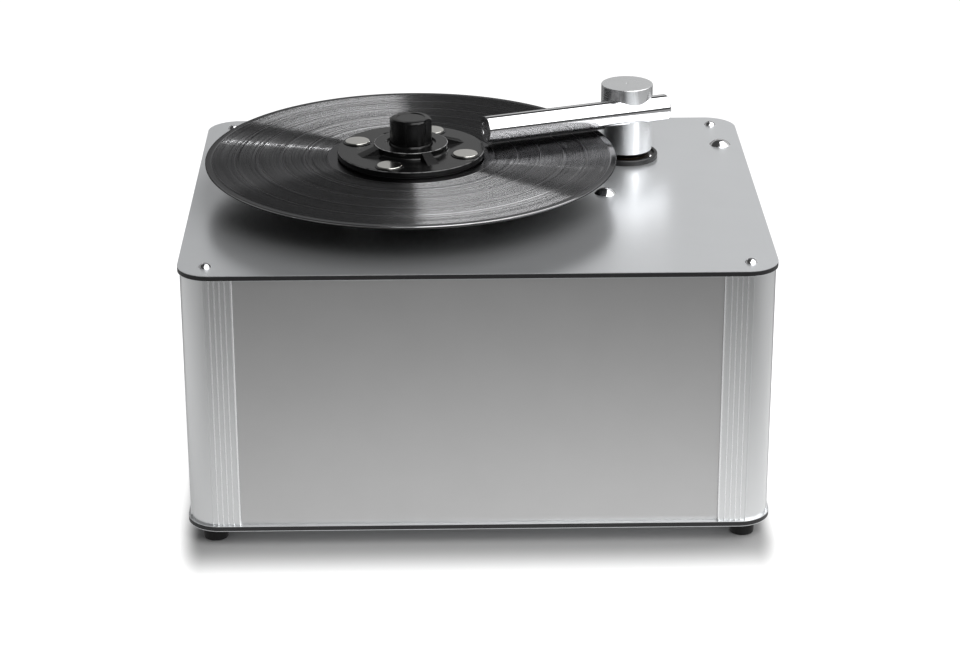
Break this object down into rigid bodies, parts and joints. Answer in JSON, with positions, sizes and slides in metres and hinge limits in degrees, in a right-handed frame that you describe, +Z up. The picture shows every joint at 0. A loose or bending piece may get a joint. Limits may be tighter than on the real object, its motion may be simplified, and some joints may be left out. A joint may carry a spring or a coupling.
{
  "type": "record cleaning machine",
  "caption": "Vacuum record cleaning machine: aluminium box with a driven platter, a magnet clamp on a record and a swinging slotted suction arm.",
  "frame": {"origin": "on the floor under the middle of the footprint, with the fittings that stand out at the rear", "axes": "+X to the right seen from the front, +Y from the front to the rear, +Z up"},
  "size_m": [0.415, 0.3496, 0.2643],
  "materials": {
    "aluminium_skin": "satin, fine linen texture",
    "plate_core": "black sawn edge",
    "profile_aluminium": "satin anodised extrusion",
    "panel_aluminium": "satin brushed sheet",
    "foot_rubber": "matt black rubber",
    "screw_steel": "polished nickel plating",
    "dark_steel": "turned steel",
    "vinyl": "black vinyl with fine grooves",
    "label_paper": "plain paper",
    "clamp_black": "satin black acetal",
    "magnet_nickel": "satin nickel plating",
    "seal_rubber": "soft black rubber",
    "cast_grey": "grey cast and turned",
    "bush_bronze": "sintered bronze",
    "arm_aluminium": "fine turned",
    "tube_polished": "mirror polished",
    "plug_polished": "polished",
    "velvet": "short velvet pile",
    "ring_black": "black anodised",
    "tank_plastic": "translucent moulded",
    "housing_plastic": "moulded",
    "hose_rubber": "smooth flexible",
    "board_green": "solder mask",
    "wire_sleeve": "braided sleeve",
    "fitting_black": "moulded nylon",
    "rocker_black": "satin moulded",
    "spigot_nickel": "nickel plated"
  },
  "bodies": {
    "case": {"top_plate_skins": "aluminium_skin", "top_plate_core": "plate_core", "bottom_plate_skins": "aluminium_skin", "bottom_plate_core": "plate_core", "corner_front_left": "profile_aluminium", "corner_front_right": "profile_aluminium", "corner_rear_left": "profile_aluminium", "corner_rear_right": "profile_aluminium", "front_panel": "panel_aluminium", "rear_panel": "panel_aluminium", "left_panel": "panel_aluminium", "right_panel": "panel_aluminium", "rubber_feet": "foot_rubber", "foot_screws": "screw_steel", "deck_screws": "screw_steel", "bearing_housing": "cast_grey", "bearing_bushes": "bush_bronze", "flange_screws": "screw_steel", "motor_bracket": "cast_grey", "drive_gearbox": "dark_steel", "drive_motor": "housing_plastic", "arm_base_ring": "ring_black", "arm_guide_tube": "arm_aluminium", "waste_tank": "tank_plastic", "tank_lid": "housing_plastic", "tank_bushes": "seal_rubber", "tank_bolts": "screw_steel", "suction_hose": "hose_rubber", "turbine_housing": "housing_plastic", "turbine_motor": "housing_plastic", "turbine_mount": "seal_rubber", "power_board": "board_green", "wiring_loom": "wire_sleeve", "mains_inlet": "fitting_black", "inlet_pins": "spigot_nickel", "switch_housings": "fitting_black", "drain_spigot": "spigot_nickel"},
    "platter_assembly": {"platter": "cast_grey", "platter_mat": "seal_rubber", "spindle": "dark_steel", "gearbox_shaft": "dark_steel", "record": "vinyl", "record_labels": "label_paper"},
    "clamp": {"clamp_disc": "clamp_black", "clamp_seal": "seal_rubber", "clamp_knob": "clamp_black", "clamp_magnets": "magnet_nickel"},
    "arm_turn": {"arm_sleeve": "bush_bronze"},
    "arm": {"arm_rod": "dark_steel", "arm_spring": "dark_steel", "arm_post": "arm_aluminium", "arm_tube": "tube_polished", "arm_plugs": "plug_polished", "arm_pads": "velvet"},
    "mains_switch": {"mains_rocker": "rocker_black"},
    "suction_switch": {"suction_rocker": "rocker_black"},
    "direction_switch": {"direction_rocker": "rocker_black"},
    "fan": {"turbine_fan": "dark_steel"},
    "cap": {"drain_cap": "seal_rubber"}
  },
  "joints": [
    {"name": "platter_spin", "type": "hinge", "parent": "case", "child": "platter_assembly", "pos_m": [-0.0468, -0.0063, 0.2063], "axis": [0, 0, 1], "continuous": true},
    {"name": "clamp_lift", "type": "slide", "parent": "platter_assembly", "child": "clamp", "axis": [0, 0, 1], "range_m": [0, 0.045]},
    {"name": "arm_swing", "type": "hinge", "parent": "case", "child": "arm_turn", "pos_m": [0.1165, 0.069, 0.2063], "axis": [0, 0, 1], "range_deg": [0, 90]},
    {"name": "arm_lift", "type": "slide", "parent": "arm_turn", "child": "arm", "axis": [0, 0, 1], "range_m": [-0.0012, 0], "stiffness_N_per_m": 800, "springref_m": 0.006, "deforming": ["arm_spring"]},
    {"name": "mains_switch_press", "type": "hinge", "parent": "case", "child": "mains_switch", "pos_m": [-0.01, 0.1588, 0.061], "axis": [1, 0, 0], "range_deg": [-22, 0]},
    {"name": "suction_switch_press", "type": "hinge", "parent": "case", "child": "suction_switch", "pos_m": [-0.035, 0.1588, 0.061], "axis": [1, 0, 0], "range_deg": [-22, 0]},
    {"name": "direction_switch_press", "type": "hinge", "parent": "case", "child": "direction_switch", "pos_m": [-0.06, 0.1588, 0.061], "axis": [1, 0, 0], "range_deg": [-11, 11]},
    {"name": "fan_spin", "type": "hinge", "parent": "case", "child": "fan", "pos_m": [-0.125, 0.0686, 0.068], "axis": [0, 0, 1], "continuous": true},
    {"name": "drain_cap_pull", "type": "slide", "parent": "case", "child": "cap", "axis": [0, 1, 0], "range_m": [0, 0.02]}
  ]
}
